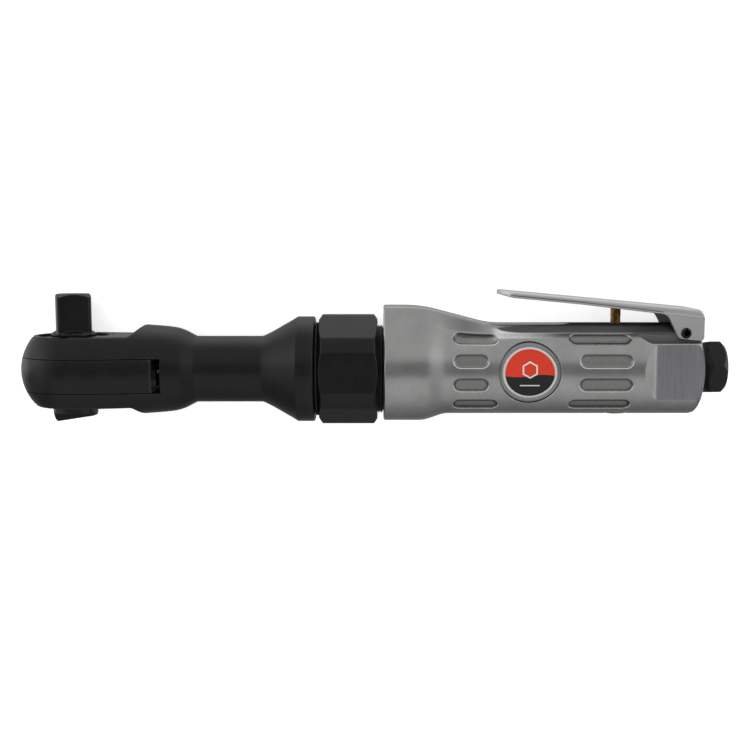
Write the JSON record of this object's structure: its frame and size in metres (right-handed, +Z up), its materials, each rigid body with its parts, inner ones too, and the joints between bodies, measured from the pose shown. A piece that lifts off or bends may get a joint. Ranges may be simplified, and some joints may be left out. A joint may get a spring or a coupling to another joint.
{
  "type": "air ratchet",
  "caption": "Half-inch drive pneumatic ratchet with forked head, hex coupling nut, cast aluminium handle, throttle lever and hex air inlet.",
  "frame": {"origin": "middle of the square drive's end face", "axes": "+X along the tool from the ratchet head to the air inlet, +Y the way the square drive points, +Z up, out of the side with the badge, as the tool lies on its side on a bench"},
  "size_m": [0.2656, 0.0507, 0.0398],
  "materials": {
    "black_oxide_steel": "satin black oxide",
    "bright_steel": "ground",
    "spring_steel": "drawn wire",
    "sheet_steel": "satin nickel-plated sheet",
    "cast_aluminium": "polished casting with as-cast recesses",
    "brass": "machined",
    "nitrile_rubber": "matt",
    "vane_resin": "moulded phenolic",
    "badge_print": "printed aluminium disc, red over black"
  },
  "bodies": {
    "handle": {"anvil_snap_ring": "black_oxide_steel", "anvil_thrust_washer": "black_oxide_steel", "badge": "badge_print", "clamp_ring": "black_oxide_steel", "coupling_nut": "black_oxide_steel", "coupling_o_ring": "nitrile_rubber", "cylinder_dowel": "bright_steel", "front_ball_bearing": "bright_steel", "front_endplate": "bright_steel", "front_needle_bearing": "bright_steel", "gear_thrust_washer": "brass", "inlet_bushing": "black_oxide_steel", "inlet_o_ring": "nitrile_rubber", "inlet_screen": "brass", "lever_pin": "bright_steel", "motor_cylinder": "bright_steel", "motor_gasket": "nitrile_rubber", "motor_housing": "cast_aluminium", "ratchet_housing": "black_oxide_steel", "rear_ball_bearing": "bright_steel", "rear_endplate": "bright_steel", "rear_needle_bearing": "bright_steel", "ring_gear": "bright_steel", "valve_plug": "brass", "valve_seat": "brass", "valve_spring": "spring_steel"},
    "anvil": {"square_drive_anvil": "black_oxide_steel", "pawl_pin": "bright_steel", "socket_ball": "bright_steel", "socket_ball_spring": "spring_steel"},
    "pawl": {"ratchet_pawl": "bright_steel"},
    "knob": {"reversing_knob": "black_oxide_steel", "reversing_plunger": "bright_steel", "reversing_spring": "spring_steel"},
    "yoke": {"ratchet_yoke": "black_oxide_steel"},
    "crank": {"crankshaft": "bright_steel", "drive_bushing": "bright_steel", "planet_pin_1": "bright_steel", "planet_pin_2": "bright_steel", "planet_pin_3": "bright_steel"},
    "planet_1": {"planet_gear_1": "bright_steel"},
    "planet_2": {"planet_gear_2": "bright_steel"},
    "planet_3": {"planet_gear_3": "bright_steel"},
    "rotor": {"rotor": "bright_steel", "rotor_vane_1": "vane_resin", "rotor_vane_2": "vane_resin", "rotor_vane_3": "vane_resin", "rotor_vane_4": "vane_resin", "rotor_vane_5": "vane_resin"},
    "lever": {"throttle_lever": "sheet_steel"},
    "valve": {"valve_pin": "brass", "throttle_valve": "nitrile_rubber"}
  },
  "joints": [
    {"name": "anvil_spin", "type": "hinge", "parent": "handle", "child": "anvil", "pos_m": [0, -0.0285, 0], "axis": [0, 1, 0], "continuous": true},
    {"name": "reversing_knob_turn", "type": "hinge", "parent": "anvil", "child": "knob", "pos_m": [0, -0.0285, 0], "axis": [0, 1, 0], "range_deg": [0, 70]},
    {"name": "pawl_rock", "type": "hinge", "parent": "anvil", "child": "pawl", "pos_m": [0.0072, -0.0285, 0], "axis": [0, 1, 0], "range_deg": [0, 5]},
    {"name": "yoke_rock", "type": "hinge", "parent": "handle", "child": "yoke", "pos_m": [0, -0.0285, 0], "axis": [0, 1, 0], "range_deg": [-3, 3]},
    {"name": "rotor_spin", "type": "hinge", "parent": "handle", "child": "rotor", "pos_m": [0.13, -0.0285, 0], "axis": [1, 0, 0], "continuous": true},
    {"name": "crank_spin", "type": "hinge", "parent": "handle", "child": "crank", "pos_m": [0.06, -0.0285, 0], "axis": [1, 0, 0], "continuous": true},
    {"name": "planet_1_spin", "type": "hinge", "parent": "crank", "child": "planet_1", "pos_m": [0.0959, -0.0207, 0], "axis": [1, 0, 0], "continuous": true},
    {"name": "planet_2_spin", "type": "hinge", "parent": "crank", "child": "planet_2", "pos_m": [0.0959, -0.0324, 0.00675], "axis": [1, 0, 0], "continuous": true},
    {"name": "planet_3_spin", "type": "hinge", "parent": "crank", "child": "planet_3", "pos_m": [0.0959, -0.0324, -0.00675], "axis": [1, 0, 0], "continuous": true},
    {"name": "throttle_lever_press", "type": "hinge", "parent": "handle", "child": "lever", "pos_m": [0.2293, -0.0142, 0], "axis": [0, 0, 1], "range_deg": [0, 7.5], "stiffness_Nm_per_rad": 1.5, "springref_deg": -5.73},
    {"name": "valve_push", "type": "slide", "parent": "handle", "child": "valve", "axis": [0, -1, 0], "range_m": [0, 0.0032], "deforming": ["valve_spring"]}
  ],
  "couplings": [
    {"joint": "crank_spin", "follows": "rotor_spin", "ratio": 0.25},
    {"joint": "planet_1_spin", "follows": "rotor_spin", "ratio": -0.75},
    {"joint": "planet_2_spin", "follows": "rotor_spin", "ratio": -0.75},
    {"joint": "planet_3_spin", "follows": "rotor_spin", "ratio": -0.75},
    {"joint": "pawl_rock", "follows": "reversing_knob_turn", "ratio": 0.071429},
    {"joint": "valve_push", "follows": "throttle_lever_press", "m_per_rad": 0.02415}
  ]
}
